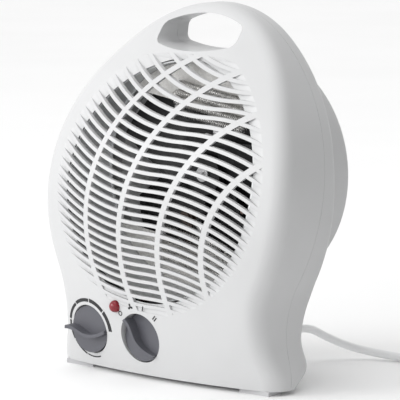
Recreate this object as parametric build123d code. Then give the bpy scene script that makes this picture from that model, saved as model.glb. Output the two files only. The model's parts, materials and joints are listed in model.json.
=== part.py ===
"""Upright fan heater: two-shell plastic body with a carrying hole, wire heating coils, fan and motor.

Millimetres, +Z up, front towards -Y. The origin is on the surface that the feet stand on, under the
middle of the body. Every sub-part is written to parts/NODE.step.
"""

import os
from math import asin, cos, degrees, pi, radians, sin, sqrt, tan

from build123d import *

# Body outline in the front view: arcs that share tangents, from the top of the handle to the base.
HEIGHT = 247.0
FOOT_HEIGHT = 3.0
TOP_R = 87.0
TOP_TURN = 38.5
SIDE_R = 131.0
WAIST_R = 60.0
WAIST_Z = 45.0
FLARE_R = 47.0
FLARE_TURN = 23.8

# Side view: the front bulges and the seam leans back.
FRONT_Y = -57.0
BELLY_Z = 95.0
UPPER_R = 180.0
UPPER_TURN = 37.7
LOWER_R = 350.0
BOW_R = 445.0
SEAM_Y = -22.5
LEAN = 0.175
WALL = 2.5
EDGE_R = 13.0
RIM_R = 4.0
SEAM_GAP = 0.2
# Rear panel in the side view, as Y and Z: it tucks in above the feet, then leans back towards the top.
REAR_LINE = ((-36.0, -12.0), (1.0, 13.0), (0.5, 30.0), (11.0, 62.0), (14.5, 140.0), (38.0, 290.0))
REAR_BENDS = (12.0, 30.0, 40.0, 250.0)

# Air path, on one level axis.
AXIS_Z = 133.0
DRUM_R = 82.0
DRUM_EDGE_R = 3.0
DRUM_Y = 57.0
GRILLE_R = 80.0
GROOVE_R = 88.0
SLAT_PITCH = 5.45
SLAT_WIDTH = 2.2
SLAT_BEND_R = 155.0
RIB_WIDTH = 4.2
# Each rib is an arc: centre X, centre Z, radius.
RIB_ARCS = ((58.0, 112.0, 113.0), (93.0, 99.0, 116.0), (112.0, 88.0, 101.0), (119.0, 86.0, 73.0))
# The slats are level where they cross this arc, and slope down to the right on both sides of it.
CREST_ARC = (102.0, 93.0, 107.0)

# Carrying hole.
HANDLE_WALL = 6.5
HANDLE_HALF = 34.0
HANDLE_BOTTOM = 216.0
HANDLE_SAG_R = 123.0
HANDLE_CORNER_R = 5.5

# Base block at the rear, which carries the rear feet and the cord.
BLOCK_BACK = 32.0
BLOCK_TOP = 40.0
BLOCK_HALF_FRONT = 76.0
BLOCK_FRONT = -24.0
BLOCK_CORNER_R = 11.0
BLOCK_TOP_R = 5.0
BLOCK_HALF_BACK = 58.0

# Controls: centre X and the Y of the knob's face.
KNOB_Z = 28.5
THERMOSTAT_X = -57.0
THERMOSTAT_FACE = -46.5
SELECTOR_X = -9.5
SELECTOR_FACE = -46.6
KNOB_R = 16.0
KNOB_GAP = 0.8
KNOB_THICK = 3.0
KNOB_DEPTH = 6.5
FIN_THICK = 2.3
FIN_POINTER = 8.5
FIN_TAIL = 4.5
FIN_LINE = ((-17.0, 0.6), (-8.0, -0.4), (0.0, -3.6), (8.0, -3.2), (17.0, 1.0))
SHAFT_R = 3.0
LAMP_X = -29.0
LAMP_Z = 48.0
LAMP_R = 4.1
BUSH_R = 4.5
SELECTOR_SCREW = 9.5
PRINT_THICK = 0.15
DIAL_START = -70.0
DIAL_SWEEP = 290.0
DIAL_STROKES = 7
STROKE_THIN = 0.9
STROKE_THICK = 3.0
SIGN_LINE = 0.8
SIGN_HEIGHT = 3.4
SELECTOR_FIRST = 45.0
SELECTOR_STEP = 30.0

# Screws that join the shells: how far behind the seam their heads sit, and their X and Z.
SCREW_SEAT = 3.5
SHELL_SCREWS = ((-84.0, 168.0), (84.0, 168.0), (-76.0, 58.0), (76.0, 58.0))

# Heater: rows of coiled resistance wire in front of two mica boards, inside a round duct.
DUCT_FRONT_R = 78.0
DUCT_BACK_R = 76.0
DUCT_FRONT = -46.0
DUCT_BACK = -5.0
DUCT_WALL = 1.0
DUCT_EAR_R = 86.0
DUCT_LIP = 1.5
MICA_THICK = 1.0
STRIP_THICK = 0.8
MICA_EDGE = 46.0
# The rows run level across the boards before the whole heater is turned by this angle.
HEATER_TURN = 9.0
COIL_Y = -10.0
COIL_TUBE_R = 2.6
COIL_FIRST = 40.0
COIL_STEP = 6.4
COIL_ROWS = 4
COIL_MIDDLE = 9.0
COIL_HALF = 27.0

# Fan and shaded-pole motor, front to back.
FAN_R = 72.0
HUB_R = 14.0
HUB_FRONT = 3.0
HUB_BACK = 18.0
BLADES = 5
BLADE_PITCH = 18.0
BLADE_THICK = 1.6
BLADE_WIDTH = 48.0
MOTOR_SHAFT_R = 2.0
STATOR_FRONT = 30.0
STATOR_BACK = 43.0
STATOR_HALF = 24.0
ROTOR_R = 13.0
BEARING_R = 6.0
BRACKET_THICK = 1.5
BRACKET_REACH = 3.5
MOTOR_SCREW_X = 19.0
MOTOR_BACK = STATOR_BACK + BRACKET_REACH + BRACKET_THICK

# Supply cord: route of its centre from the strain relief to the coil on the floor.
CORD_R = 2.75
GLAND_X = 44.0
GLAND_Z = 26.5
GLAND_END = 50.0
CORD_ROUTE = (
    (GLAND_X, GLAND_END, GLAND_Z),
    (44.0, 62.0, 26.5),
    (46.0, 80.0, 17.0),
    (53.0, 98.0, 8.2),
    (70.0, 109.0, 4.0),
    (93.0, 112.5, 2.75),
    (110.0, 109.5, 2.75),
    (125.0, 105.7, 2.75),
)
HANK_X = 132.0
HANK_Y = 146.0
HANK_INNER = 20.4
HANK_OUTER = 43.7
HANK_HEIGHT = 11.2
PLUG_ROUTE = (
    (144.0, 185.0, 8.3),
    (131.0, 189.5, 8.6),
    (118.0, 191.0, 9.0),
    (104.0, 191.0, 9.0),
)
PLUG_LENGTH = 38.0
PIN_R = 2.0
PIN_GAP = 19.0
PIN_LENGTH = 19.0


def stand(sketch):
    """Turn a sketch drawn in X and Z so that it stands in the front view."""
    return Plane.XZ * sketch


def along(sketch, start, end):
    """Push a front-view sketch through the body from one Y to another."""
    return extrude(Pos(0, start, 0) * stand(sketch), amount=end - start, dir=(0, 1, 0))


def rod(x, z, start, end, radius):
    """Round bar level with the air axis."""
    return along(Pos(x, z) * Circle(radius), start, end)


def tube(x, z, start, end, outer, inner):
    """Round sleeve level with the air axis."""
    return along(Pos(x, z) * (Circle(outer) - Circle(inner)), start, end)


def front_y(x, z):
    """Y of the outer front surface."""
    rise = z - BELLY_Z
    radius = UPPER_R if rise > 0 else LOWER_R
    return FRONT_Y + radius - sqrt(radius**2 - rise**2) + x**2 / (2 * BOW_R)


def seam_y(z):
    """Y of the joint between the two shells."""
    return SEAM_Y + LEAN * z


def outline(inset):
    """Front view of the body, moved inwards by inset."""
    side_x = TOP_R * sin(radians(TOP_TURN)) - SIDE_R * sin(radians(TOP_TURN))
    side_z = HEIGHT - TOP_R + (TOP_R - SIDE_R) * cos(radians(TOP_TURN))
    waist_turn = degrees(asin((side_z - WAIST_Z) / (SIDE_R + WAIST_R)))
    top = JernArc((0, HEIGHT - inset), (1, 0), TOP_R - inset, -TOP_TURN)
    side = JernArc(top @ 1, top % 1, SIDE_R - inset, TOP_TURN - 90 - waist_turn)
    waist = JernArc(side @ 1, side % 1, WAIST_R + inset, waist_turn + FLARE_TURN)
    flare = JernArc(waist @ 1, waist % 1, FLARE_R - inset, -FLARE_TURN)
    below = flare @ 1 - Vector(0, HEIGHT / 4)
    skirt = Line(flare @ 1, below)
    base = Line(below, (0, below.Y))
    middle = Line((0, below.Y), top @ 0)
    half = make_face([top, side, waist, flare, skirt, base, middle])
    return half + mirror(half, Plane.YZ)


def bulge(inset):
    """Everything behind the front surface, turned about a far upright axis."""
    start = (FRONT_Y + inset, BELLY_Z)
    upper = JernArc(start, (0, 1), UPPER_R - inset, -UPPER_TURN)
    lower = JernArc(start, (0, -1), LOWER_R - inset, degrees(asin((BELLY_Z + 40) / LOWER_R)))
    crown = Line(upper @ 1, upper @ 1 + 90 * (upper % 1))
    back = DRUM_Y + 20
    corners = [crown @ 1, (back, (crown @ 1).Y), (back, (lower @ 1).Y), lower @ 1]
    face = make_face([upper, lower, crown, Polyline(*corners)])
    upright = Axis((0, FRONT_Y + BOW_R, 0), (0, 0, 1))
    return revolve(Plane.YZ * face, upright).rotate(upright, 180)


def before_lean(offset):
    """Block in front of a plane that leans back with the seam."""
    plane = Plane(origin=(0, SEAM_Y + offset, 0), x_dir=(1, 0, 0), z_dir=(0, -1, LEAN))
    return extrude(plane * Rectangle(4 * HEIGHT, 4 * HEIGHT), amount=HEIGHT)


def behind(inset):
    """Everything behind the rear panel, moved forwards by inset."""
    line = FilletPolyline(*REAR_LINE, radius=list(REAR_BENDS))
    low, high = REAR_LINE[0][1], REAR_LINE[-1][1]
    far = 2 * DRUM_Y
    face = make_face([*line.edges(), Polyline(line @ 1, (far, high), (far, low), line @ 0)])
    return Pos(0, -inset, 0) * extrude(Plane.YZ * face, amount=HEIGHT, both=True)


def above(z):
    """Block above a level plane."""
    size = 4 * HEIGHT
    return Pos(0, 0, z) * Box(size, size, size, align=(Align.CENTER, Align.CENTER, Align.MIN))


def rim_edges(solid):
    """Edges round the rear panel, without those inside it."""
    panel = [f for f in solid.faces() if f.center().Y > SEAM_Y and f.normal_at(f.center()).Y > 0.5]
    edges = [e for f in panel for e in f.edges()]
    return [e for e in edges if sum(other.is_same(e) for other in edges) == 1]


def body(inset):
    """Main body with rounded rims, without the drum and the base block."""
    column = along(outline(inset), FRONT_Y - 5, DRUM_Y)
    front = column & bulge(inset)
    front = fillet(front.edges().filter_by(GeomType.BSPLINE), EDGE_R - inset)
    rear = column - behind(inset)
    rear = fillet(rim_edges(rear), RIM_R - inset)
    return front & rear & above(FOOT_HEIGHT + inset)


def block(inset):
    """Base block that reaches back under the drum."""
    side = BLOCK_HALF_FRONT - inset
    back = BLOCK_BACK - inset
    tail = BLOCK_HALF_BACK - inset
    corners = [(-side, BLOCK_FRONT), (-tail, back), (tail, back), (side, BLOCK_FRONT)]
    solid = extrude(Polygon(*corners, align=None), amount=BLOCK_TOP - inset, dir=(0, 0, 1))
    edges = solid.edges().filter_by(Axis.Z).filter_by(lambda e: e.center().Y > 0)
    solid = fillet(edges, BLOCK_CORNER_R - inset)
    edges = solid.faces().sort_by(Axis.Z)[-1].edges()
    solid = fillet(edges.filter_by(lambda e: e.center().Y > BLOCK_FRONT + 1), BLOCK_TOP_R - inset / 2)
    return solid & above(FOOT_HEIGHT + inset)


def drum(inset, end):
    """Round housing of the fan."""
    solid = rod(0, AXIS_Z, SEAM_Y + LEAN * AXIS_Z - 12, end, DRUM_R - inset)
    return fillet(solid.faces().sort_by(Axis.Y)[-1].edges(), DRUM_EDGE_R - inset)


def hand_hole(grow):
    """Outline of the carrying hole: its top follows the body and its bottom sags."""
    size = HANDLE_HALF + grow
    window = Pos(0, HEIGHT) * Rectangle(2 * size, HEIGHT)
    window &= Pos(0, HANDLE_BOTTOM + HANDLE_SAG_R) * Circle(HANDLE_SAG_R + grow)
    face = outline(HANDLE_WALL - grow) & window
    corners = [v for v in face.vertices() if abs(abs(v.X) - size) < 0.1]
    return fillet(corners, HANDLE_CORNER_R + grow)


def knob_floor(face):
    """Y of the floor under a knob, from the Y of the knob's face."""
    return face + KNOB_DEPTH


def recess(x, face, grow):
    """Round pocket for a knob, open to the front."""
    return rod(x, KNOB_Z, FRONT_Y - 5, knob_floor(face) + grow, KNOB_R + KNOB_GAP + grow)


def slat_face(x, z):
    """One S-shaped slat: two bent halves that meet level at (x, z)."""
    half = SLAT_WIDTH / 2
    reach = 40
    above_it = (x, z + SLAT_BEND_R)
    below_it = (x, z - SLAT_BEND_R)
    low_left = CenterArc(above_it, SLAT_BEND_R + half, 270 - reach, reach)
    top_left = CenterArc(above_it, SLAT_BEND_R - half, 270 - reach, reach)
    top_right = CenterArc(below_it, SLAT_BEND_R + half, 90 - reach, reach)
    low_right = CenterArc(below_it, SLAT_BEND_R - half, 90 - reach, reach)
    start = Line(low_left @ 0, top_left @ 0)
    end = Line(low_right @ 0, top_right @ 0)
    return make_face([low_left, top_left, top_right, low_right, start, end])


def grille_openings():
    """Open area of the front grille and its grooves in the front view."""
    field = Pos(0, AXIS_Z) * Circle(GROOVE_R)
    crest_x, crest_z, crest_r = CREST_ARC
    count = int(GRILLE_R / SLAT_PITCH) + 6
    for row in range(-count, count + 1):
        z = AXIS_Z + row * SLAT_PITCH
        drop = min(abs(z - crest_z), crest_r * 0.95)
        field -= slat_face(crest_x - sqrt(crest_r**2 - drop**2), z)
    for x, z, radius in RIB_ARCS:
        ring = Circle(radius + RIB_WIDTH / 2) - Circle(radius - RIB_WIDTH / 2)
        field -= Pos(x, z) * ring
    return field


def groove_floor():
    """Everything in front of a dished surface that meets the front skin where the grooves end."""
    rise = WALL / (GROOVE_R**2 - GRILLE_R**2)
    reach = GROOVE_R + 6
    steps = 16
    rows = []
    for i in range(steps + 1):
        x = reach * (2 * i / steps - 1)
        row = []
        for j in range(steps + 1):
            z = reach * (2 * j / steps - 1)
            row.append((x, front_y(x, AXIS_Z + z) + rise * (GROOVE_R**2 - x**2 - z**2), AXIS_Z + z))
        rows.append(row)
    face = Face.make_surface_from_array_of_points([[Vector(*point) for point in row] for row in rows])
    return Solid.extrude(face, Vector(0, -40, 0))


def shells():
    """Outer halves of the front and rear shell, split at the leaning seam, with the hole walls."""
    outer = body(0)
    inner = body(WALL)
    ahead = before_lean(0)
    rear_outer = outer - ahead + block(0) - ahead + drum(0, DRUM_Y) - ahead
    rear_inner = inner + block(WALL) + drum(WALL, DRUM_Y - WALL)
    sleeve = along(hand_hole(WALL), FRONT_Y, DRUM_Y) & outer
    hole = along(hand_hole(0), FRONT_Y - 5, DRUM_Y + 5)
    front = (outer & before_lean(-SEAM_GAP / 2)) - inner
    rear = (rear_outer - before_lean(SEAM_GAP / 2)) - rear_inner
    front += sleeve & before_lean(-SEAM_GAP / 2)
    rear += sleeve - before_lean(SEAM_GAP / 2)
    return front - hole, rear - hole, outer


def ear_places():
    """Centres of the four duct screws."""
    offset = DUCT_EAR_R * sqrt(0.5)
    return [(x * offset, AXIS_Z + z * offset) for x in (-1, 1) for z in (-1, 1)]


def front_shell(shell, outer):
    """Front half with grille, knob pockets, lamp hole and screw bosses."""
    solid = Part() + shell
    pockets = recess(THERMOSTAT_X, THERMOSTAT_FACE, WALL) + recess(SELECTOR_X, SELECTOR_FACE, WALL)
    solid += pockets & outer
    for x, z in SHELL_SCREWS:
        solid += rod(x, z, FRONT_Y, seam_y(z) - 1, 4.2) & outer
    for x, z in ear_places():
        solid += rod(x, z, FRONT_Y, DUCT_BACK, 3.6) & outer
    solid -= along(grille_openings(), FRONT_Y - 5, FRONT_Y + 45) & groove_floor()
    for x, face in ((THERMOSTAT_X, THERMOSTAT_FACE), (SELECTOR_X, SELECTOR_FACE)):
        solid -= recess(x, face, 0)
        solid -= rod(x, KNOB_Z, knob_floor(face) - 1, knob_floor(face) + WALL + 1, BUSH_R)
    for x in (SELECTOR_X - SELECTOR_SCREW, SELECTOR_X + SELECTOR_SCREW):
        solid -= rod(x, KNOB_Z, knob_floor(SELECTOR_FACE) - 1, knob_floor(SELECTOR_FACE) + WALL + 1, 1.5)
    solid -= rod(LAMP_X, LAMP_Z, FRONT_Y - 1, FRONT_Y + 20, LAMP_R + 0.1)
    for x, z in SHELL_SCREWS:
        solid -= rod(x, z, seam_y(z) - 15, seam_y(z) + 5, 1.5)
    for x, z in ear_places():
        solid -= rod(x, z, DUCT_BACK - 9, DUCT_BACK + 1, 1.5)
    return solid


def intake_slots():
    """Ring slots in the end of the drum, between radial bars."""
    face = Sketch()
    for row in range(6):
        radius = 26 + row * 7.5
        face += Circle(radius + 4) - Circle(radius)
    for turn in range(0, 180, 30):
        face -= Rot(0, 0, turn) * Rectangle(2 * DRUM_R, 3)
    return along(Pos(0, AXIS_Z) * face, DRUM_Y - 5, DRUM_Y + 1)


def rear_shell(shell, outer):
    """Rear half with drum, intake slots, base block, screw posts and motor posts."""
    solid = Part() + shell
    for x, z in SHELL_SCREWS:
        solid += (rod(x, z, seam_y(z) + 1, DRUM_Y, 5.5) & outer) - before_lean(SEAM_GAP / 2)
    for x in (-MOTOR_SCREW_X, MOTOR_SCREW_X):
        solid += rod(x, AXIS_Z, MOTOR_BACK, DRUM_Y - 1, 3.6)
    solid -= intake_slots()
    for x, z in SHELL_SCREWS:
        solid -= rod(x, z, seam_y(z) + SCREW_SEAT, DRUM_Y, 4.0)
        solid -= rod(x, z, seam_y(z) - 3, DRUM_Y, 1.7)
    for x in (-MOTOR_SCREW_X, MOTOR_SCREW_X):
        solid -= rod(x, AXIS_Z, MOTOR_BACK - 1, MOTOR_BACK + 5, 1.5)
    solid -= rod(GLAND_X, GLAND_Z, BLOCK_BACK - 5, BLOCK_BACK + 1, 5.6)
    return solid


def front_feet():
    """Two pads under the front corners."""
    return [Pos(x, -30, FOOT_HEIGHT / 2) * Box(24, 13, FOOT_HEIGHT) for x in (-76, 76)]


def rear_feet():
    """Two pads under the base block."""
    return [Pos(x, 22, FOOT_HEIGHT / 2) * Box(24, 12, FOOT_HEIGHT) for x in (-38, 38)]


def shell_screws():
    """Four screws from the rear posts into the front bosses."""
    screws = []
    for x, z in SHELL_SCREWS:
        seat = seam_y(z) + SCREW_SEAT
        screws.append(rod(x, z, seat - 17, seat, 1.45) + rod(x, z, seat, seat + 2.4, 3.3))
    return screws


def grip():
    """Wavy grip of a knob, about the knob's middle: highest at its pointer end, at nine o'clock."""
    upper = Spline(*[(reach, sag + FIN_THICK / 2) for reach, sag in FIN_LINE])
    under = Spline(*[(reach, sag - FIN_THICK / 2) for reach, sag in FIN_LINE])
    ends = [Line(upper @ 0, under @ 0), Line(upper @ 1, under @ 1)]
    wave = make_face([upper, under] + ends) & Circle(KNOB_R - 0.1)
    corners = [(-KNOB_R, -FIN_POINTER), (KNOB_R, -FIN_TAIL), (KNOB_R, 1), (-KNOB_R, 1)]
    side = extrude(Polygon(*corners, align=None), amount=KNOB_R, both=True)
    return along(wave, -FIN_POINTER - 1, 1) & side


def knob(x, face, turn):
    """Round knob with a wavy grip across it; at turn 0 the pointer end of the grip is at nine o'clock."""
    floor = knob_floor(face)
    disc = rod(x, KNOB_Z, face, face + KNOB_THICK, KNOB_R)
    rim = tube(x, KNOB_Z, face + 1, floor - 0.6, KNOB_R, KNOB_R - 1.8)
    hub = rod(x, KNOB_Z, face + 1, floor - 2.9, 4.8)
    socket = rod(x, KNOB_Z, face + 1.2, floor, SHAFT_R)
    return disc + rim + hub + Pos(x, face, KNOB_Z) * Rot(0, -turn, 0) * grip() - socket


def control_shaft(x, face, end):
    """Spindle of a control, from inside the knob to its body."""
    return rod(x, KNOB_Z, face + 1.2, end, SHAFT_R)


def bush(x, face):
    """Threaded neck of a control, through the pocket floor."""
    floor = knob_floor(face)
    return tube(x, KNOB_Z, floor - 2.5, floor + WALL, BUSH_R, SHAFT_R + 0.1)


def thermostat_body():
    """Thermostat base with its neck."""
    back = knob_floor(THERMOSTAT_FACE) + WALL
    case = Pos(THERMOSTAT_X, back + 4, KNOB_Z) * Box(26, 8, 26)
    case -= rod(THERMOSTAT_X, KNOB_Z, back - 1, back + 9, SHAFT_R + 0.1)
    return case + bush(THERMOSTAT_X, THERMOSTAT_FACE)


def thermostat_blades():
    """Bimetal strip and contact strip behind the thermostat base."""
    back = knob_floor(THERMOSTAT_FACE) + WALL + 8
    strips = []
    for row, height in enumerate((24, 20)):
        strips.append(Pos(THERMOSTAT_X, back + 4.5 + 4 * row, KNOB_Z + 2) * Box(8, 0.8, height))
    post = Pos(THERMOSTAT_X, back + 4.7, KNOB_Z + 8.5) * Box(10, 9.4, 5)
    return [post - strips[0] - strips[1]] + strips


def thermostat_nut():
    """Hexagon nut that holds the thermostat in its pocket."""
    floor = knob_floor(THERMOSTAT_FACE)
    face = RegularPolygon(7.2, 6) - Circle(BUSH_R + 0.05)
    return along(Pos(THERMOSTAT_X, KNOB_Z) * face, floor - 2.4, floor)


def selector_body():
    """Rotary switch with its neck."""
    back = knob_floor(SELECTOR_FACE) + WALL
    case = Pos(SELECTOR_X, back + 8, KNOB_Z) * Box(27, 16, 27)
    case -= rod(SELECTOR_X, KNOB_Z, back - 1, back + 12.5, SHAFT_R + 0.1)
    for x in (SELECTOR_X - SELECTOR_SCREW, SELECTOR_X + SELECTOR_SCREW):
        case -= rod(x, KNOB_Z, back - 1, back + 6, 1.25)
    return case + bush(SELECTOR_X, SELECTOR_FACE)


def selector_terminals():
    """Four blade terminals on the back of the switch."""
    back = knob_floor(SELECTOR_FACE) + WALL + 16
    places = [(x, z) for x in (-8, 8) for z in (-7, 7)]
    return [Pos(SELECTOR_X + x, back + 4, KNOB_Z + z) * Box(6.3, 8, 0.8) for x, z in places]


def selector_screws():
    """Two screws that hold the switch, under the knob."""
    floor = knob_floor(SELECTOR_FACE)
    screws = []
    for x in (SELECTOR_X - SELECTOR_SCREW, SELECTOR_X + SELECTOR_SCREW):
        screws.append(rod(x, KNOB_Z, floor - 1.5, floor, 2.5) + rod(x, KNOB_Z, floor, floor + WALL + 5, 1.2))
    return screws


def pilot_lens():
    """Domed lens with a collar behind the wall."""
    skin = front_y(LAMP_X, LAMP_Z)
    dome = Pos(LAMP_X, skin, LAMP_Z) * Sphere(LAMP_R)
    return dome + rod(LAMP_X, LAMP_Z, skin, skin + 9, LAMP_R) + rod(LAMP_X, LAMP_Z, skin + 4, skin + 6, LAMP_R + 1.4)


def pilot_lamp():
    """Neon lamp behind the lens."""
    skin = front_y(LAMP_X, LAMP_Z)
    return rod(LAMP_X, LAMP_Z, skin + 9, skin + 20, 3.0)


def printed(face):
    """Thin print on the front surface."""
    return along(face, FRONT_Y - 5, FRONT_Y + 30) & (bulge(-PRINT_THICK) - bulge(0))


def thermostat_marks():
    """Arc around the knob that thickens clockwise, in seven strokes."""
    strokes = []
    step = DIAL_SWEEP / DIAL_STROKES
    for stroke in range(DIAL_STROKES):
        width = STROKE_THIN + (STROKE_THICK - STROKE_THIN) * stroke / (DIAL_STROKES - 1)
        angle = DIAL_START - (stroke + 1) * step + 2.5
        ring = Circle(KNOB_R + 3 + width) - Circle(KNOB_R + 3)
        far = 2 * KNOB_R
        ends = [(far * cos(radians(angle + t)), far * sin(radians(angle + t))) for t in (0, step / 2, step - 2.5)]
        wedge = Polygon((0, 0), *ends, align=None)
        strokes.append(printed(Pos(THERMOSTAT_X, KNOB_Z) * (ring & wedge)))
    return strokes


def selector_marks():
    """Off, fan, low and high signs above the selector."""
    radius = KNOB_R + 5.5
    signs = [Circle(SIGN_HEIGHT / 2) - Circle(SIGN_HEIGHT / 2 - SIGN_LINE * 0.75)]
    fan = Circle(0.5)
    for turn in (90, 210, 330):
        fan += Rot(0, 0, turn) * Pos(1.3, 0) * Ellipse(1.0, 0.75)
    signs.append(fan)
    bar = Rectangle(SIGN_LINE, SIGN_HEIGHT)
    signs.append(bar)
    signs.append(Pos(-SIGN_LINE, 0) * bar + Pos(SIGN_LINE, 0) * bar)
    marks = []
    for place, sign in enumerate(signs):
        angle = 90 + SELECTOR_FIRST - place * SELECTOR_STEP
        x = SELECTOR_X + radius * cos(radians(angle))
        z = KNOB_Z + radius * sin(radians(angle))
        marks += printed(Pos(x, z) * Rot(0, 0, angle - 90) * sign).solids()
    return marks


def throat(shrink, start, end):
    """Space inside the tapered duct between two Y, made smaller by shrink."""
    slope = (DUCT_BACK_R - DUCT_FRONT_R) / (DUCT_BACK - DUCT_FRONT)
    near = DUCT_FRONT_R + slope * (start - DUCT_FRONT) - shrink
    far = DUCT_FRONT_R + slope * (end - DUCT_FRONT) - shrink
    face = Polygon((0, start), (near, start), (far, end), (0, end), align=None)
    cone = revolve(face, Axis.Y)
    return Pos(0, 0, AXIS_Z) * cone


def duct():
    """Tapered steel duct with a back flange and four ears."""
    solid = throat(-DUCT_WALL, DUCT_FRONT, DUCT_BACK) - throat(0, DUCT_FRONT - 1, DUCT_BACK + 1)
    solid = solid & bulge(WALL + 1)
    flange = Circle(DUCT_BACK_R + 5) + Rot(0, 0, 45) * Rectangle(2 * DUCT_EAR_R + 8, 9)
    flange += Rot(0, 0, -45) * Rectangle(2 * DUCT_EAR_R + 8, 9)
    flange -= Circle(DUCT_BACK_R - DUCT_LIP)
    solid += along(Pos(0, AXIS_Z) * flange, DUCT_BACK, DUCT_BACK + DUCT_WALL)
    for x, z in ear_places():
        solid -= rod(x, z, DUCT_BACK - 1, DUCT_BACK + 2, 1.6)
    return solid


def duct_screws():
    """Four screws through the duct ears."""
    screws = []
    for x, z in ear_places():
        seat = DUCT_BACK + DUCT_WALL
        screws.append(rod(x, z, seat - 8, seat, 1.45) + rod(x, z, seat, seat + 1.8, 2.8))
    return screws


def in_heater(solid):
    """Put a heater piece, drawn level about the origin, at its place in the duct."""
    return Pos(0, 0, AXIS_Z) * Rot(0, HEATER_TURN, 0) * solid


def below_axis(solid):
    """The same heater piece below the air axis."""
    return mirror(solid, Plane.XY)


def coil():
    """Upper coil as the tube that its turns fill: level rows joined by bends."""
    left = COIL_MIDDLE - COIL_HALF
    right = COIL_MIDDLE + COIL_HALF
    lines = [Line((left, COIL_FIRST), (right, COIL_FIRST))]
    for row in range(1, COIL_ROWS):
        way = 1 if row % 2 else -1
        bend = JernArc(lines[-1] @ 1, lines[-1] % 1, COIL_STEP / 2, way * 180)
        lines += [bend, Line(bend @ 1, bend @ 1 + (bend % 1) * (right - left))]
    path = Pos(0, COIL_Y, 0) * (Plane.XZ * Wire(lines))
    start = Plane(origin=path @ 0, z_dir=path % 0)
    return sweep(start * Circle(COIL_TUBE_R), path=path)


def mica_boards():
    """Upper and lower board behind the coils, resting on the lip of the duct."""
    board = Circle(DUCT_BACK_R - 0.3) - Rectangle(2 * DUCT_BACK_R, 2 * MICA_EDGE)
    return in_heater(along(board, DUCT_BACK - MICA_THICK, DUCT_BACK))


def board_strip(x, low, high, width):
    """Strip of sheet on the front of a board."""
    front = DUCT_BACK - MICA_THICK
    face = Pos(x, (low + high) / 2) * Rectangle(width, high - low)
    return along(face, front - STRIP_THICK, front)


def coil_terminals():
    """Tabs on the boards at both ends of each coil."""
    left = COIL_MIDDLE - COIL_HALF
    tabs = []
    for height in (COIL_FIRST, COIL_FIRST + (COIL_ROWS - 1) * COIL_STEP):
        strip = board_strip(left - 2.5, height - 2, max(height + 2, MICA_EDGE + 4), 5)
        arm = Pos(left - 0.5, COIL_Y + 1, height) * Box(1, 2 * abs(COIL_Y - DUCT_BACK) - 3, 4)
        arm = arm & along(Rectangle(4 * HEIGHT, 4 * HEIGHT), COIL_Y - 2, DUCT_BACK - MICA_THICK)
        tabs += [strip + arm, below_axis(strip + arm)]
    return [in_heater(tab) for tab in tabs]


def thermal_cutout():
    """Round bimetal cut-out on a strip that stands on the edge of the lower board."""
    front = DUCT_BACK - MICA_THICK - STRIP_THICK
    can = along(Pos(2, -27) * Circle(5), front - 5, front)
    cap = along(Pos(2, -27) * Circle(3.5), front - 6.5, front - 5)
    return in_heater(board_strip(2, -MICA_EDGE - 4, -24, 4) + can + cap)


def thermal_fuse():
    """Thermal fuse on a strip that hangs from the edge of the upper board."""
    front = DUCT_BACK - MICA_THICK - STRIP_THICK
    barrel = Pos(14, front - 2, 30) * Rot(0, 90, 0) * Cylinder(2, 11)
    return in_heater(board_strip(14, 28, MICA_EDGE + 4, 4) + barrel)


def fan_impeller():
    """Moulded fan with pitched blades on a hub."""
    solid = rod(0, AXIS_Z, HUB_FRONT, HUB_BACK, HUB_R)
    middle = (HUB_FRONT + HUB_BACK) / 2
    limit = rod(0, AXIS_Z, HUB_FRONT, HUB_BACK, FAN_R)
    for blade in range(BLADES):
        plate = Pos((FAN_R + HUB_R) / 2, 0, 0) * Box(FAN_R - HUB_R + 6, BLADE_THICK, BLADE_WIDTH)
        plate = Rot(BLADE_PITCH, 0, 0) * plate
        turned = Rot(0, blade * 360 / BLADES, 0) * plate
        solid += Pos(0, middle, AXIS_Z) * turned & limit
    return solid - rod(0, AXIS_Z, HUB_FRONT - 1, HUB_BACK + 1, MOTOR_SHAFT_R)


def fan_clip():
    """Push-on clip in front of the hub."""
    return tube(0, AXIS_Z, HUB_FRONT - 1.2, HUB_FRONT, 5, MOTOR_SHAFT_R)


def motor_shaft():
    """Motor shaft."""
    return rod(0, AXIS_Z, HUB_FRONT - 3, MOTOR_BACK + 3, MOTOR_SHAFT_R)


def motor_rotor():
    """Squirrel-cage rotor."""
    return tube(0, AXIS_Z, STATOR_FRONT, STATOR_BACK, ROTOR_R, MOTOR_SHAFT_R)


def stator_core():
    """Laminated stator with the rotor bore and a window for the winding."""
    face = Pos(0, AXIS_Z - 11) * Rectangle(2 * STATOR_HALF, 66)
    face -= Pos(0, AXIS_Z) * Circle(ROTOR_R + 0.4)
    face -= Pos(0, AXIS_Z - 27) * Rectangle(30, 14)
    for x in (-MOTOR_SCREW_X, MOTOR_SCREW_X):
        face -= Pos(x, AXIS_Z) * Circle(1.6)
    return along(face, STATOR_FRONT, STATOR_BACK)


def limb_box(x, y, z):
    """Box around the lower limb of the stator."""
    return Pos(0, (STATOR_FRONT + STATOR_BACK) / 2, AXIS_Z - 39) * Box(x, y, z)


def coil_bobbin():
    """Bobbin on the lower limb."""
    core = limb_box(26, 15, 12)
    ends = limb_box(26, 25, 20.5) - limb_box(23, 26, 26)
    return core + ends - limb_box(30, 13, 10)


def stator_winding():
    """Copper winding on the bobbin."""
    return limb_box(23, 23, 19) - limb_box(30, 15, 12)


def bearing_bracket(start):
    """Strap across the stator that holds a bearing."""
    face = Pos(0, AXIS_Z) * (SlotOverall(2 * STATOR_HALF, 12) + Circle(9) - Circle(BEARING_R))
    for x in (-MOTOR_SCREW_X, MOTOR_SCREW_X):
        face -= Pos(x, AXIS_Z) * Circle(1.6)
    return along(face, start, start + BRACKET_THICK)


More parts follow.
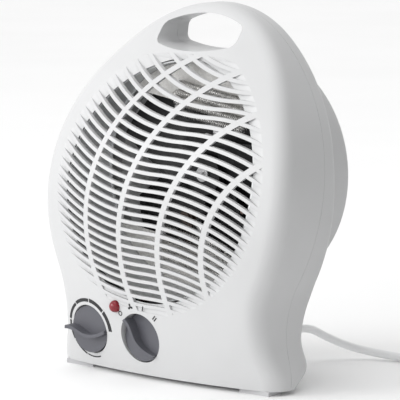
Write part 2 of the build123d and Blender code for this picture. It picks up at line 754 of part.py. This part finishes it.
def bearing(start):
    """Sintered sleeve bearing in a bracket."""
    return tube(0, AXIS_Z, start - 1.5, start + BRACKET_THICK + 1.5, BEARING_R, MOTOR_SHAFT_R + 0.03)


def motor_spacers():
    """Sleeves between the stator and both brackets."""
    sleeves = []
    for x in (-MOTOR_SCREW_X, MOTOR_SCREW_X):
        sleeves.append(tube(x, AXIS_Z, STATOR_FRONT - BRACKET_REACH, STATOR_FRONT, 3.2, 1.6))
        sleeves.append(tube(x, AXIS_Z, STATOR_BACK, STATOR_BACK + BRACKET_REACH, 3.2, 1.6))
    return sleeves


def motor_screws():
    """Two long screws through the motor into the rear posts."""
    front = STATOR_FRONT - BRACKET_REACH - BRACKET_THICK
    screws = []
    for x in (-MOTOR_SCREW_X, MOTOR_SCREW_X):
        shank = rod(x, AXIS_Z, front, MOTOR_BACK + 4, 1.45)
        screws.append(shank + rod(x, AXIS_Z, front - 2, front, 2.8))
    return screws


def strain_relief():
    """Rubber sleeve in the rear wall of the base."""
    inner = rod(GLAND_X, GLAND_Z, BLOCK_BACK - WALL - 2, BLOCK_BACK - WALL, 7)
    neck = rod(GLAND_X, GLAND_Z, BLOCK_BACK - WALL, BLOCK_BACK, 5.5)
    collar = rod(GLAND_X, GLAND_Z, BLOCK_BACK, BLOCK_BACK + 2, 7)
    start = Plane(origin=(GLAND_X, BLOCK_BACK + 2, GLAND_Z), x_dir=(1, 0, 0), z_dir=(0, 1, 0))
    tail = loft([start * Circle(5.2), start.offset(GLAND_END - BLOCK_BACK - 2) * Circle(CORD_R + 1)])
    return inner + neck + collar + tail


def terminal_block():
    """Screw terminal block on the floor of the base."""
    block_z = FOOT_HEIGHT + WALL + 6
    return Pos(34, -20, block_z) * Box(30, 16, 12)


def terminal_screws():
    """Terminal screws on the block."""
    top = FOOT_HEIGHT + WALL + 12
    return [Pos(34 + x, -20, top + 0.6) * Cylinder(2.2, 1.2) for x in (-9, 0, 9)]


def cord_clamp():
    """Bridge that grips the cord inside the base."""
    floor = FOOT_HEIGHT + WALL
    bridge = Pos(GLAND_X, 4, floor + 9) * Box(26, 9, 5)
    return bridge - inner_lead(CORD_R)


def clamp_posts():
    """Two spacers under the bridge."""
    floor = FOOT_HEIGHT + WALL
    sides = (GLAND_X - 9, GLAND_X + 9)
    return [Pos(x, 4, floor) * Cylinder(3, 6.5, align=(Align.CENTER, Align.CENTER, Align.MIN)) for x in sides]


def clamp_screws():
    """Two screws on top of the bridge."""
    top = FOOT_HEIGHT + WALL + 11.5
    return [Pos(x, 4, top + 1) * Cylinder(2.8, 2) for x in (GLAND_X - 9, GLAND_X + 9)]


def corner_radii(points):
    """Largest radii that each corner of a cord route allows."""
    radii = []
    for before, here, after in zip(points, points[1:], points[2:]):
        first = Vector(*here) - Vector(*before)
        second = Vector(*after) - Vector(*here)
        turn = radians(first.get_angle(second))
        radii.append(0.45 * min(first.length, second.length) / tan(turn / 2))
    return radii


def cord(points, radius):
    """Round cord along a route of straight runs and tangent arcs."""
    radii = corner_radii(points)
    path = FilletPolyline(*points, radius=radii)
    start = Plane(origin=path @ 0, z_dir=path % 0)
    solid = sweep(start * Circle(radius), path=path)
    print("cord", round(path.length, 1), "mm, radii", [round(r) for r in radii])
    print("  volume share", round(solid.volume / (pi * radius**2 * path.length), 4))
    return solid


def inner_lead(radius):
    """Cord inside the base, from the strain relief to the terminal block."""
    floor = FOOT_HEIGHT + WALL
    points = (
        (GLAND_X, BLOCK_BACK - WALL - 2, GLAND_Z),
        (GLAND_X, 16, GLAND_Z),
        (GLAND_X, 4, floor + 10),
        (40, -4, floor + 7),
        (40, -12, floor + 7),
    )
    return cord(points, radius)


def hank():
    """Neatly coiled rest of the cord on the floor."""
    ring = Circle(HANK_OUTER) - Circle(HANK_INNER)
    solid = Pos(HANK_X, HANK_Y, 0) * extrude(ring, amount=HANK_HEIGHT)
    return fillet(solid.edges(), CORD_R)


def plug_body():
    """Moulded two-pin plug lying on the floor."""
    x, y, z = PLUG_ROUTE[-1]
    end = Plane(origin=(x, y, z), x_dir=(0, 1, 0), z_dir=(-1, 0, 0))
    sections = (end * Circle(CORD_R + 1.2), end.offset(12) * Circle(5.5))
    neck = loft(list(sections))
    grip = end.offset(12) * RectangleRounded(30, 2 * (z - 0.2), 6)
    return neck + extrude(grip, amount=PLUG_LENGTH - 12)


def plug_pins():
    """Two round pins."""
    x, y, z = PLUG_ROUTE[-1]
    face = x - PLUG_LENGTH
    pins = []
    for side in (-PIN_GAP / 2, PIN_GAP / 2):
        pin = Pos(face - PIN_LENGTH / 2, y + side, z) * Rot(0, 90, 0) * Cylinder(PIN_R, PIN_LENGTH)
        pins.append(pin)
    return pins


def wire(points):
    """Insulated wire inside the body."""
    path = FilletPolyline(*points, radius=4)
    start = Plane(origin=path @ 0, z_dir=path % 0)
    return sweep(start * Circle(1.1), path=path)


def wiring():
    """Wires between terminal block, controls, lamp and heater."""
    selector_back = knob_floor(SELECTOR_FACE) + WALL + 24
    heater_z = AXIS_Z - DUCT_FRONT_R - 4
    lamp_back = front_y(LAMP_X, LAMP_Z) + 20
    supply = wire(((30, -28.2, 11.5), (30, -36, 11.5), (14, -36, 11.5), (9, -20, 10.5), (0, -12, 12)))
    to_thermostat = wire(((-17, selector_back, 21.5), (-17, -7.5, 21.5), (-36, -7.5, 19), (-50, -12, 12)))
    to_lamp = wire(((LAMP_X, lamp_back, LAMP_Z), (LAMP_X, -22, LAMP_Z), (-10, -20, 50), (-2, -12, 50)))
    to_heater = wire(((-1.5, selector_back, 35.5), (-1.5, -7.5, 35.5), (14, -7.5, 44), (20, -7.5, heater_z)))
    return [supply, to_thermostat, to_lamp, to_heater]


def save(name, piece):
    """Write one sub-part, of one solid or of a group of solids."""
    group = piece if isinstance(piece, list) else piece.solids()
    export_step(Compound(children=list(group)), f"parts/{name}.step")


def main():
    """Build every sub-part and write it."""
    os.makedirs("parts", exist_ok=True)
    front_half, rear_half, outer = shells()
    save("front_shell", front_shell(front_half, outer))
    save("rear_shell", rear_shell(rear_half, outer))
    save("shell_screws", shell_screws())
    save("front_feet", front_feet())
    save("rear_feet", rear_feet())
    save("thermostat_knob", knob(THERMOSTAT_X, THERMOSTAT_FACE, 0))
    save("thermostat_shaft", control_shaft(THERMOSTAT_X, THERMOSTAT_FACE, knob_floor(THERMOSTAT_FACE) + WALL + 8))
    save("thermostat_body", thermostat_body())
    save("thermostat_blades", thermostat_blades())
    save("thermostat_nut", thermostat_nut())
    save("thermostat_marks", thermostat_marks())
    save("selector_knob", knob(SELECTOR_X, SELECTOR_FACE, -45))
    save("selector_shaft", control_shaft(SELECTOR_X, SELECTOR_FACE, knob_floor(SELECTOR_FACE) + WALL + 12))
    save("selector_switch", selector_body())
    save("selector_terminals", selector_terminals())
    save("selector_screws", selector_screws())
    save("selector_marks", selector_marks())
    save("pilot_lens", pilot_lens())
    save("pilot_lamp", pilot_lamp())
    save("heater_duct", duct())
    save("duct_screws", duct_screws())
    save("mica_boards", mica_boards())
    save("heating_coil_upper", in_heater(coil()))
    save("heating_coil_lower", in_heater(below_axis(coil())))
    save("coil_terminals", coil_terminals())
    save("thermal_cutout", thermal_cutout())
    save("thermal_fuse", thermal_fuse())
    save("fan_impeller", fan_impeller())
    save("fan_clip", fan_clip())
    save("motor_shaft", motor_shaft())
    save("motor_rotor", motor_rotor())
    save("stator_core", stator_core())
    save("coil_bobbin", coil_bobbin())
    save("stator_winding", stator_winding())
    front_strap = STATOR_FRONT - BRACKET_REACH - BRACKET_THICK
    rear_strap = STATOR_BACK + BRACKET_REACH
    save("front_bracket", bearing_bracket(front_strap))
    save("rear_bracket", bearing_bracket(rear_strap))
    save("front_bearing", bearing(front_strap))
    save("rear_bearing", bearing(rear_strap))
    save("motor_spacers", motor_spacers())
    save("motor_screws", motor_screws())
    save("terminal_block", terminal_block())
    save("terminal_screws", terminal_screws())
    save("cord_clamp", cord_clamp())
    save("clamp_posts", clamp_posts())
    save("clamp_screws", clamp_screws())
    save("inner_lead", inner_lead(CORD_R))
    save("wiring", wiring())
    save("strain_relief", strain_relief())
    coiled = hank()
    save("cord_lead", cord(CORD_ROUTE, CORD_R) - coiled)
    save("cord_coil", coiled)
    save("cord_end", cord(PLUG_ROUTE, CORD_R) - coiled)
    save("plug_body", plug_body())
    save("plug_pins", plug_pins())


main()
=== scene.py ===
"""Looks of the upright fan heater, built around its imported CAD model. Metres, +Z up, front towards -Y."""

import json
import math

import bmesh
import bpy
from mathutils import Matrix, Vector


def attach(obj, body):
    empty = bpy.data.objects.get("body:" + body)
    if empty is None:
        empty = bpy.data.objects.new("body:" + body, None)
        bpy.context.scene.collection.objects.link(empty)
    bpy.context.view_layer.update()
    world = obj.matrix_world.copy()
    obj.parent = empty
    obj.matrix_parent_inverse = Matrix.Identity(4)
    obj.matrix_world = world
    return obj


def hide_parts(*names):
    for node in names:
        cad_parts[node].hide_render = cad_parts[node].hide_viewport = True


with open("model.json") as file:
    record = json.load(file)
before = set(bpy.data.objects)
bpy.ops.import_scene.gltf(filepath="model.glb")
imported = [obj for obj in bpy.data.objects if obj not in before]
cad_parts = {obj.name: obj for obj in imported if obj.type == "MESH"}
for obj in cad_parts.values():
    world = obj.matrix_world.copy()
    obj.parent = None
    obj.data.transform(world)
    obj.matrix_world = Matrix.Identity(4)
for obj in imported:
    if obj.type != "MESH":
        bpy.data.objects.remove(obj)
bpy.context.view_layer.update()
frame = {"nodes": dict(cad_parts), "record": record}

HOUSING = "housing"

# Camera.
CAMERA_AZIMUTH = 40.0
CAMERA_ELEVATION = 7.9
CAMERA_DISTANCE = 1.735
CAMERA_LENS = 241.2
CAMERA_TARGET = (0.0333, -0.0397, 0.1232)
CAMERA_NEAR = 0.05
CAMERA_FAR = 20

# Supply cord: the same route as the CAD tube, then the turns of the coil, then the plug's end.
CORD_R = 0.00275
CORD_EXIT = (0.044, 0.050, 0.0265)
CORD_ROUTE = (
    CORD_EXIT,
    (0.044, 0.062, 0.0265),
    (0.046, 0.080, 0.017),
    (0.053, 0.098, 0.0082),
    (0.070, 0.109, 0.004),
    (0.093, 0.1125, 0.00285),
    (0.110, 0.1095, 0.0031),
)
PLUG_ROUTE = (
    (0.131, 0.1895, 0.0088),
    (0.118, 0.191, 0.009),
    (0.104, 0.191, 0.009),
)
COIL_CENTRE = (0.132, 0.146)
COIL_OUTER = 0.0407
COIL_INNER = 0.0232
COIL_LOW = 0.0034
COIL_LAYER = 0.0054
COIL_TURNS = 6.48
COIL_START = -100.0
CLIMB_START = 0.47
CLIMB_SHARE = 0.06
TIE_ANGLE = 205.0
TIE_WIDTH = 0.006
TIE_THICK = 0.0005
TIE_STEPS = 12
POINTS_PER_TURN = 16

# Resistance wire: turns wound along level rows, which are then turned about the air axis.
AXIS_Z = 0.133
HEATER_TURN = 9.0
WIRE_Y = -0.010
WIRE_R = 0.00035
WIRE_COIL_R = 0.0024
WIRE_PITCH = 0.0015
WIRE_FIRST = 0.040
WIRE_STEP = 0.0064
WIRE_ROWS = 4
WIRE_MIDDLE = 0.009
WIRE_HALF = 0.027
WIRE_SHARE = 8

# Studio: floor, shading card at the right, and lights as name, place, size and power.
FLOOR_HALF = 6.0
CARD_X = 0.75
CARD_Y = (-0.35, 0.9)
CARD_Z = (0.12, 1.2)
LIGHT_TARGET = (0, 0, 0.13)
LIGHTS = (
    ("key", (-1.0, -1.4, 0.8), 0.8, 12),
    ("front", (-0.1, -1.8, 0.5), 0.7, 3),
    ("top", (0.0, -0.2, 1.6), 1.0, 3),
)


def link(obj):
    """Put a new object in the scene."""
    bpy.context.scene.collection.objects.link(obj)
    return obj


def make_camera():
    """Camera in front, to the right and a little above."""
    data = bpy.data.cameras.new("camera")
    data.lens = CAMERA_LENS
    data.clip_start = CAMERA_NEAR
    data.clip_end = CAMERA_FAR
    camera = link(bpy.data.objects.new("camera", data))
    azimuth = math.radians(CAMERA_AZIMUTH)
    elevation = math.radians(CAMERA_ELEVATION)
    flat = math.cos(elevation)
    back = Vector((math.sin(azimuth) * flat, -math.cos(azimuth) * flat, math.sin(elevation)))
    camera.location = Vector(CAMERA_TARGET) + back * CAMERA_DISTANCE
    camera.rotation_euler = (-back).to_track_quat("-Z", "Y").to_euler()
    bpy.context.scene.camera = camera


def curve_object(name, points, radius, resolution, bevel):
    """One open NURBS spline of round section, with its radius on its points."""
    data = bpy.data.curves.new(name, "CURVE")
    data.dimensions = "3D"
    data.resolution_u = resolution
    data.bevel_depth = 1.0
    data.bevel_resolution = bevel
    data.use_fill_caps = True
    spline = data.splines.new("NURBS")
    spline.points.add(len(points) - 1)
    for slot, point in zip(spline.points, points):
        slot.co = (*point, 1)
        slot.radius = radius
    spline.order_u = 3
    spline.use_endpoint_u = True
    return link(bpy.data.objects.new(name, data))


def coil_points():
    """Turns of the coiled cord: inwards on the floor, then outwards on top."""
    count = int(COIL_TURNS * POINTS_PER_TURN)
    points = []
    for index in range(count + 1):
        share = index / count
        angle = math.radians(COIL_START + 360 * COIL_TURNS * share)
        radius = COIL_INNER + (COIL_OUTER - COIL_INNER) * abs(1 - 2 * share)
        climb = min(max((share - CLIMB_START) / CLIMB_SHARE, 0), 1)
        height = COIL_LOW + COIL_LAYER * climb
        x = COIL_CENTRE[0] + radius * math.cos(angle)
        y = COIL_CENTRE[1] + radius * math.sin(angle)
        points.append((x, y, height))
    return points


def make_tie():
    """Flat strap round the turns of the coil."""
    angle = math.radians(TIE_ANGLE)
    outward = Vector((math.cos(angle), math.sin(angle), 0))
    side = Vector((-math.sin(angle), math.cos(angle), 0))
    middle = Vector((*COIL_CENTRE, 0)) + outward * (COIL_OUTER + COIL_INNER) / 2
    reach = (COIL_OUTER - COIL_INNER) / 2 + CORD_R + TIE_THICK
    half_height = (COIL_LAYER + 2 * CORD_R) / 2 + 2 * TIE_THICK
    middle.z = half_height
    corner = CORD_R
    bm = bmesh.new()
    rings = []
    for quarter in range(4):
        for step in range(TIE_STEPS):
            turn = math.pi / 2 * (quarter + step / (TIE_STEPS - 1))
            flat = math.cos(turn), math.sin(turn)
            signs = ((1, 1), (-1, 1), (-1, -1), (1, -1))[quarter]
            ring = []
            for lift, shift in ((0, -1), (0, 1), (-TIE_THICK, 1), (-TIE_THICK, -1)):
                out = signs[0] * (reach - corner) + flat[0] * (corner + lift)
                rise = signs[1] * (half_height - corner) + flat[1] * (corner + lift)
                place = middle + outward * out + side * shift * TIE_WIDTH / 2 + Vector((0, 0, rise))
                ring.append(bm.verts.new(place))
            rings.append(ring)
    for index, ring in enumerate(rings):
        after = rings[(index + 1) % len(rings)]
        for edge in range(4):
            bm.faces.new((ring[edge], ring[(edge + 1) % 4], after[(edge + 1) % 4], after[edge]))
    bmesh.ops.recalc_face_normals(bm, faces=bm.faces)
    mesh = bpy.data.meshes.new("cord_tie")
    bm.to_mesh(mesh)
    bm.free()
    tie = link(bpy.data.objects.new("cord_tie", mesh))
    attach(tie, HOUSING)
    return tie


def make_cord():
    """Supply cord in one spline, from the strain relief to the plug."""
    points = list(CORD_ROUTE) + coil_points() + list(PLUG_ROUTE)
    cord = curve_object("supply_cord", points, CORD_R, resolution=6, bevel=6)
    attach(cord, HOUSING)
    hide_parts("cord_lead", "cord_coil", "cord_end")
    tie = make_tie()
    return cord, tie


class Shader:
    """A node material under construction."""

    def __init__(self, name):
        self.material = bpy.data.materials.new(name)
        self.material.use_nodes = True
        self.nodes = self.material.node_tree.nodes
        self.links = self.material.node_tree.links
        self.bsdf = self.nodes["Principled BSDF"]
        self.place = self.nodes.new("ShaderNodeTexCoord").outputs["Object"]

    def set(self, **values):
        """Set plain values on the shader."""
        for name, value in values.items():
            self.bsdf.inputs[name.replace("_", " ")].default_value = value
        return self

    def noise(self, scale, detail=3.0, roughness=0.55, stretch=None):
        """Noise pattern in object space, stretched along an axis if asked."""
        node = self.nodes.new("ShaderNodeTexNoise")
        node.inputs["Scale"].default_value = scale
        node.inputs["Detail"].default_value = detail
        node.inputs["Roughness"].default_value = roughness
        source = self.place
        if stretch:
            mapping = self.nodes.new("ShaderNodeMapping")
            mapping.inputs["Scale"].default_value = stretch
            self.links.new(source, mapping.inputs["Vector"])
            source = mapping.outputs["Vector"]
        self.links.new(source, node.inputs["Vector"])
        return node.outputs["Fac"]

    def wave(self, scale, axis="Y", distortion=0.0):
        """Parallel bands in object space."""
        node = self.nodes.new("ShaderNodeTexWave")
        node.bands_direction = axis
        node.inputs["Scale"].default_value = scale
        node.inputs["Distortion"].default_value = distortion
        self.links.new(self.place, node.inputs["Vector"])
        return node.outputs["Fac"]

    def ramp(self, factor, low, high, start=0.3, end=0.7):
        """Map a pattern to a range of colour or grey."""
        node = self.nodes.new("ShaderNodeValToRGB")
        node.color_ramp.elements[0].position = start
        node.color_ramp.elements[1].position = end
        for element, value in zip(node.color_ramp.elements, (low, high)):
            element.color = (*value, 1) if isinstance(value, tuple) else (value, value, value, 1)
        self.links.new(factor, node.inputs["Fac"])
        return node.outputs["Color"]

    def colour(self, factor, low, high):
        """Vary the base colour between two colours."""
        self.links.new(self.ramp(factor, low, high), self.bsdf.inputs["Base Color"])

    def rough(self, factor, low, high):
        """Vary the roughness between two values."""
        self.links.new(self.ramp(factor, low, high), self.bsdf.inputs["Roughness"])

    def bump(self, factor, strength, distance):
        """Raise the surface by a pattern, with its height in metres."""
        node = self.nodes.new("ShaderNodeBump")
        node.inputs["Strength"].default_value = strength
        node.inputs["Distance"].default_value = distance
        self.links.new(factor, node.inputs["Height"])
        previous = self.bsdf.inputs["Normal"]
        if previous.is_linked:
            self.links.new(previous.links[0].from_socket, node.inputs["Normal"])
        self.links.new(node.outputs["Normal"], previous)


def moulded(name, low, high, rough_low, rough_high, grain=900.0, height=0.00004):
    """Moulded plastic: faint colour clouds, fine grain and soft flow marks."""
    shader = Shader(name)
    shader.colour(shader.noise(14, 2), low, high)
    shader.rough(shader.noise(60, 4), rough_low, rough_high)
    shader.bump(shader.noise(45, 2), 0.10, 0.0004)
    shader.bump(shader.noise(grain, 2), 0.25, height)
    return shader


def metal(name, low, high, rough_low, rough_high, stretch=(1, 1, 1), scale=300.0):
    """Bare metal with drawn or rolled streaks."""
    shader = Shader(name)
    shader.set(Metallic=1.0)
    shader.colour(shader.noise(scale / 6, 3), low, high)
    streaks = shader.noise(scale, 4, 0.6, stretch)
    shader.rough(streaks, rough_low, rough_high)
    shader.bump(streaks, 0.2, 0.00005)
    return shader


def white_plastic():
    """White housing plastic."""
    shader = moulded("white_plastic", (0.55, 0.553, 0.557), (0.58, 0.583, 0.587), 0.34, 0.46)
    return shader.set(Specular_IOR_Level=0.45).material


def knob_plastic():
    """Blue-grey satin plastic of the knobs."""
    shader = moulded("knob_plastic", (0.092, 0.093, 0.108), (0.112, 0.113, 0.130), 0.36, 0.50, 1400)
    return shader.material


def black_plastic():
    """Black plastic of the fan and small insulators."""
    return moulded("black_plastic", (0.006, 0.006, 0.007), (0.012, 0.012, 0.013), 0.45, 0.6).material


def phenolic():
    """Brown-black thermoset with a mottled grain."""
    shader = moulded("phenolic", (0.035, 0.02, 0.014), (0.075, 0.045, 0.03), 0.35, 0.55, 700)
    return shader.material


def rubber():
    """Soft light grey rubber."""
    shader = moulded("soft_rubber", (0.42, 0.42, 0.43), (0.50, 0.50, 0.51), 0.65, 0.8, 1500, 0.00006)
    return shader.material


def cord_vinyl():
    """Light grey flexible sleeve."""
    shader = moulded("cord_vinyl", (0.84, 0.845, 0.85), (0.88, 0.885, 0.89), 0.38, 0.5, 1200, 0.00003)
    return shader.material


def wire_vinyl():
    """Silicone wire sleeve."""
    shader = moulded("wire_vinyl", (0.35, 0.05, 0.03), (0.45, 0.07, 0.04), 0.4, 0.55, 1500)
    return shader.material


def lens_plastic():
    """Red glossy lens."""
    shader = Shader("lens_plastic")
    shader.colour(shader.noise(500, 2), (0.16, 0.001, 0.008), (0.24, 0.002, 0.012))
    shader.rough(shader.noise(700, 2), 0.12, 0.20)
    return shader.set(IOR=1.49, Coat_Weight=0.3, Coat_Roughness=0.05).material


def lamp_glass():
    """Thin glass of the lamp."""
    shader = Shader("lamp_glass")
    shader.colour(shader.noise(300, 2), (0.85, 0.80, 0.78), (0.92, 0.88, 0.86))
    shader.rough(shader.noise(400, 2), 0.04, 0.10)
    return shader.set(Transmission_Weight=0.9, IOR=1.5).material


def print_ink():
    """Matt black print with slightly broken edges of tone."""
    shader = Shader("print_ink")
    shader.colour(shader.noise(2500, 2), (0.008, 0.008, 0.009), (0.018, 0.018, 0.02))
    shader.rough(shader.noise(1500, 2), 0.45, 0.6)
    return shader.material


def mica_sheet():
    """Pressed mica with glittering flakes."""
    shader = Shader("mica_sheet")
    flakes = shader.noise(420, 6, 0.7)
    shader.colour(flakes, (0.60, 0.59, 0.57), (0.80, 0.79, 0.77))
    shader.rough(shader.noise(900, 3), 0.25, 0.6)
    shader.bump(flakes, 0.3, 0.0001)
    return shader.material


def laminated_steel():
    """Stacked laminations, seen as fine lines across the stack."""
    shader = Shader("laminated_steel")
    shader.set(Metallic=0.85)
    layers = shader.wave(320, "Y")
    shader.colour(layers, (0.10, 0.10, 0.11), (0.26, 0.26, 0.28))
    shader.rough(shader.noise(200, 3), 0.35, 0.6)
    shader.bump(layers, 0.5, 0.0001)
    return shader.material


def wound_copper():
    """Enamelled copper wire, seen as close turns."""
    shader = Shader("wound_copper")
    shader.set(Metallic=0.9)
    turns = shader.wave(420, "X", 0.4)
    shader.colour(turns, (0.22, 0.06, 0.02), (0.62, 0.24, 0.09))
    shader.rough(shader.noise(300, 3), 0.22, 0.4)
    shader.bump(turns, 0.6, 0.0002)
    return shader.material


def duct_metal():
    """Bright rolled sheet of the duct."""
    shader = metal("duct_metal", (0.70, 0.71, 0.72), (0.80, 0.81, 0.82), 0.35, 0.5, (1, 0.15, 1), 260)
    return shader.set(Metallic=0.35).material


def make_materials():
    """One material for each finish."""
    zinc = metal("zinc_steel", (0.50, 0.50, 0.50), (0.66, 0.66, 0.67), 0.25, 0.42).material
    brass = metal("plain_brass", (0.60, 0.43, 0.18), (0.72, 0.54, 0.26), 0.22, 0.4).material
    alloy = metal("heating_alloy", (0.62, 0.61, 0.60), (0.88, 0.87, 0.85), 0.18, 0.35, scale=900).material
    return {
        "white_plastic": white_plastic(),
        "grey_plastic": knob_plastic(),
        "dark_plastic": black_plastic(),
        "phenolic": phenolic(),
        "steel": zinc,
        "duct_steel": duct_metal(),
        "nichrome": alloy,
        "copper": wound_copper(),
        "brass": brass,
        "mica": mica_sheet(),
        "print": print_ink(),
        "lens_red": lens_plastic(),
        "glass": lamp_glass(),
        "rubber": rubber(),
        "cord_pvc": cord_vinyl(),
        "wire_pvc": wire_vinyl(),
        "core_steel": laminated_steel(),
    }


def paint_nodes(materials):
    """Give every CAD node the material of its slot."""
    for part in frame["record"]["subparts"]:
        obj = frame["nodes"][part["node"]]
        material = materials[part["material_slot"]]
        if not obj.material_slots:
            obj.data.materials.append(material)
        for place in obj.material_slots:
            place.material = material


def zigzag():
    """Centre line of the upper coil as closely spaced points: level rows joined by round bends."""
    step = WIRE_PITCH / WIRE_SHARE
    across = int(2 * WIRE_HALF / step)
    round_bend = int(math.pi * WIRE_STEP / 2 / step)
    points = []
    for row in range(WIRE_ROWS):
        height = WIRE_FIRST + row * WIRE_STEP
        way = -1 if row % 2 else 1
        for index in range(across):
            points.append((WIRE_MIDDLE + way * WIRE_HALF * (2 * index / across - 1), height))
        if row == WIRE_ROWS - 1:
            break
        for index in range(round_bend):
            turn = math.pi * index / round_bend
            out = WIRE_STEP / 2 * math.sin(turn)
            rise = WIRE_STEP / 2 * (1 - math.cos(turn))
            points.append((WIRE_MIDDLE + way * (WIRE_HALF + out), height + rise))
    return points


def make_heating_coil(name, side):
    """Helix of bare wire along the zigzag line, above or below the air axis."""
    line = zigzag()
    tilt = math.radians(HEATER_TURN)
    points = []
    for index in range(1, len(line) - 1):
        along_x = line[index + 1][0] - line[index - 1][0]
        along_z = line[index + 1][1] - line[index - 1][1]
        length = math.hypot(along_x, along_z)
        turn = 2 * math.pi * index / WIRE_SHARE
        out = WIRE_COIL_R * math.cos(turn)
        x = line[index][0] - along_z / length * out
        z = side * (line[index][1] + along_x / length * out)
        y = WIRE_Y + WIRE_COIL_R * math.sin(turn)
        across = x * math.cos(tilt) + z * math.sin(tilt)
        upwards = z * math.cos(tilt) - x * math.sin(tilt)
        points.append((across, y, AXIS_Z + upwards))
    wire = curve_object(name + "_wire", points, WIRE_R, resolution=2, bevel=1)
    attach(wire, HOUSING)
    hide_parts(name)
    return wire


def studio_sheet(name, finish, corners, low, high):
    """Flat matt sheet of the studio, which is no part of the object."""
    mesh = bpy.data.meshes.new(name)
    mesh.from_pydata(corners, [], [(0, 1, 2, 3)])
    sheet = link(bpy.data.objects.new(name, mesh))
    shader = Shader(finish)
    shader.colour(shader.noise(3, 2), (low, low, low), (high, high, high))
    shader.rough(shader.noise(5, 2), 0.85, 0.95)
    mesh.materials.append(shader.material)
    return sheet


def make_stage():
    """White floor that runs to the horizon, in front of a white world."""
    size = FLOOR_HALF
    corners = [(-size, -size, 0), (size, -size, 0), (size, size, 0), (-size, size, 0)]
    floor = studio_sheet("floor", "floor_paper", corners, 0.93, 0.95)
    scene = bpy.context.scene
    scene.view_settings.view_transform = "Standard"
    scene.world = bpy.data.worlds.new("studio")
    scene.world.use_nodes = True
    background = scene.world.node_tree.nodes["Background"]
    background.inputs["Color"].default_value = (1, 1, 1, 1)
    background.inputs["Strength"].default_value = 1.0


def make_flag():
    """Dark card that shades the object's right side; camera rays pass through it."""
    near, far = CARD_Y
    low, high = CARD_Z
    corners = [(CARD_X, near, low), (CARD_X, far, low), (CARD_X, far, high), (CARD_X, near, high)]
    flag = studio_sheet("flag", "flag_card", corners, 0.03, 0.05)
    flag.visible_camera = False


def area_light(name, place, size, power):
    """Soft square light aimed at the object."""
    data = bpy.data.lights.new(name, "AREA")
    data.shape = "RECTANGLE"
    data.size = size
    data.size_y = size
    data.energy = power
    light = link(bpy.data.objects.new(name, data))
    light.location = place
    way = Vector(LIGHT_TARGET) - Vector(place)
    light.rotation_euler = way.to_track_quat("-Z", "Y").to_euler()


make_camera()
cord, tie = make_cord()
finishes = make_materials()
cord.data.materials.append(finishes["cord_pvc"])
tie.data.materials.append(finishes["dark_plastic"])
paint_nodes(finishes)
for coil_name, coil_side in (("heating_coil_upper", 1), ("heating_coil_lower", -1)):
    coil = make_heating_coil(coil_name, coil_side)
    coil.data.materials.append(finishes["nichrome"])
make_stage()
make_flag()
for light_settings in LIGHTS:
    area_light(*light_settings)
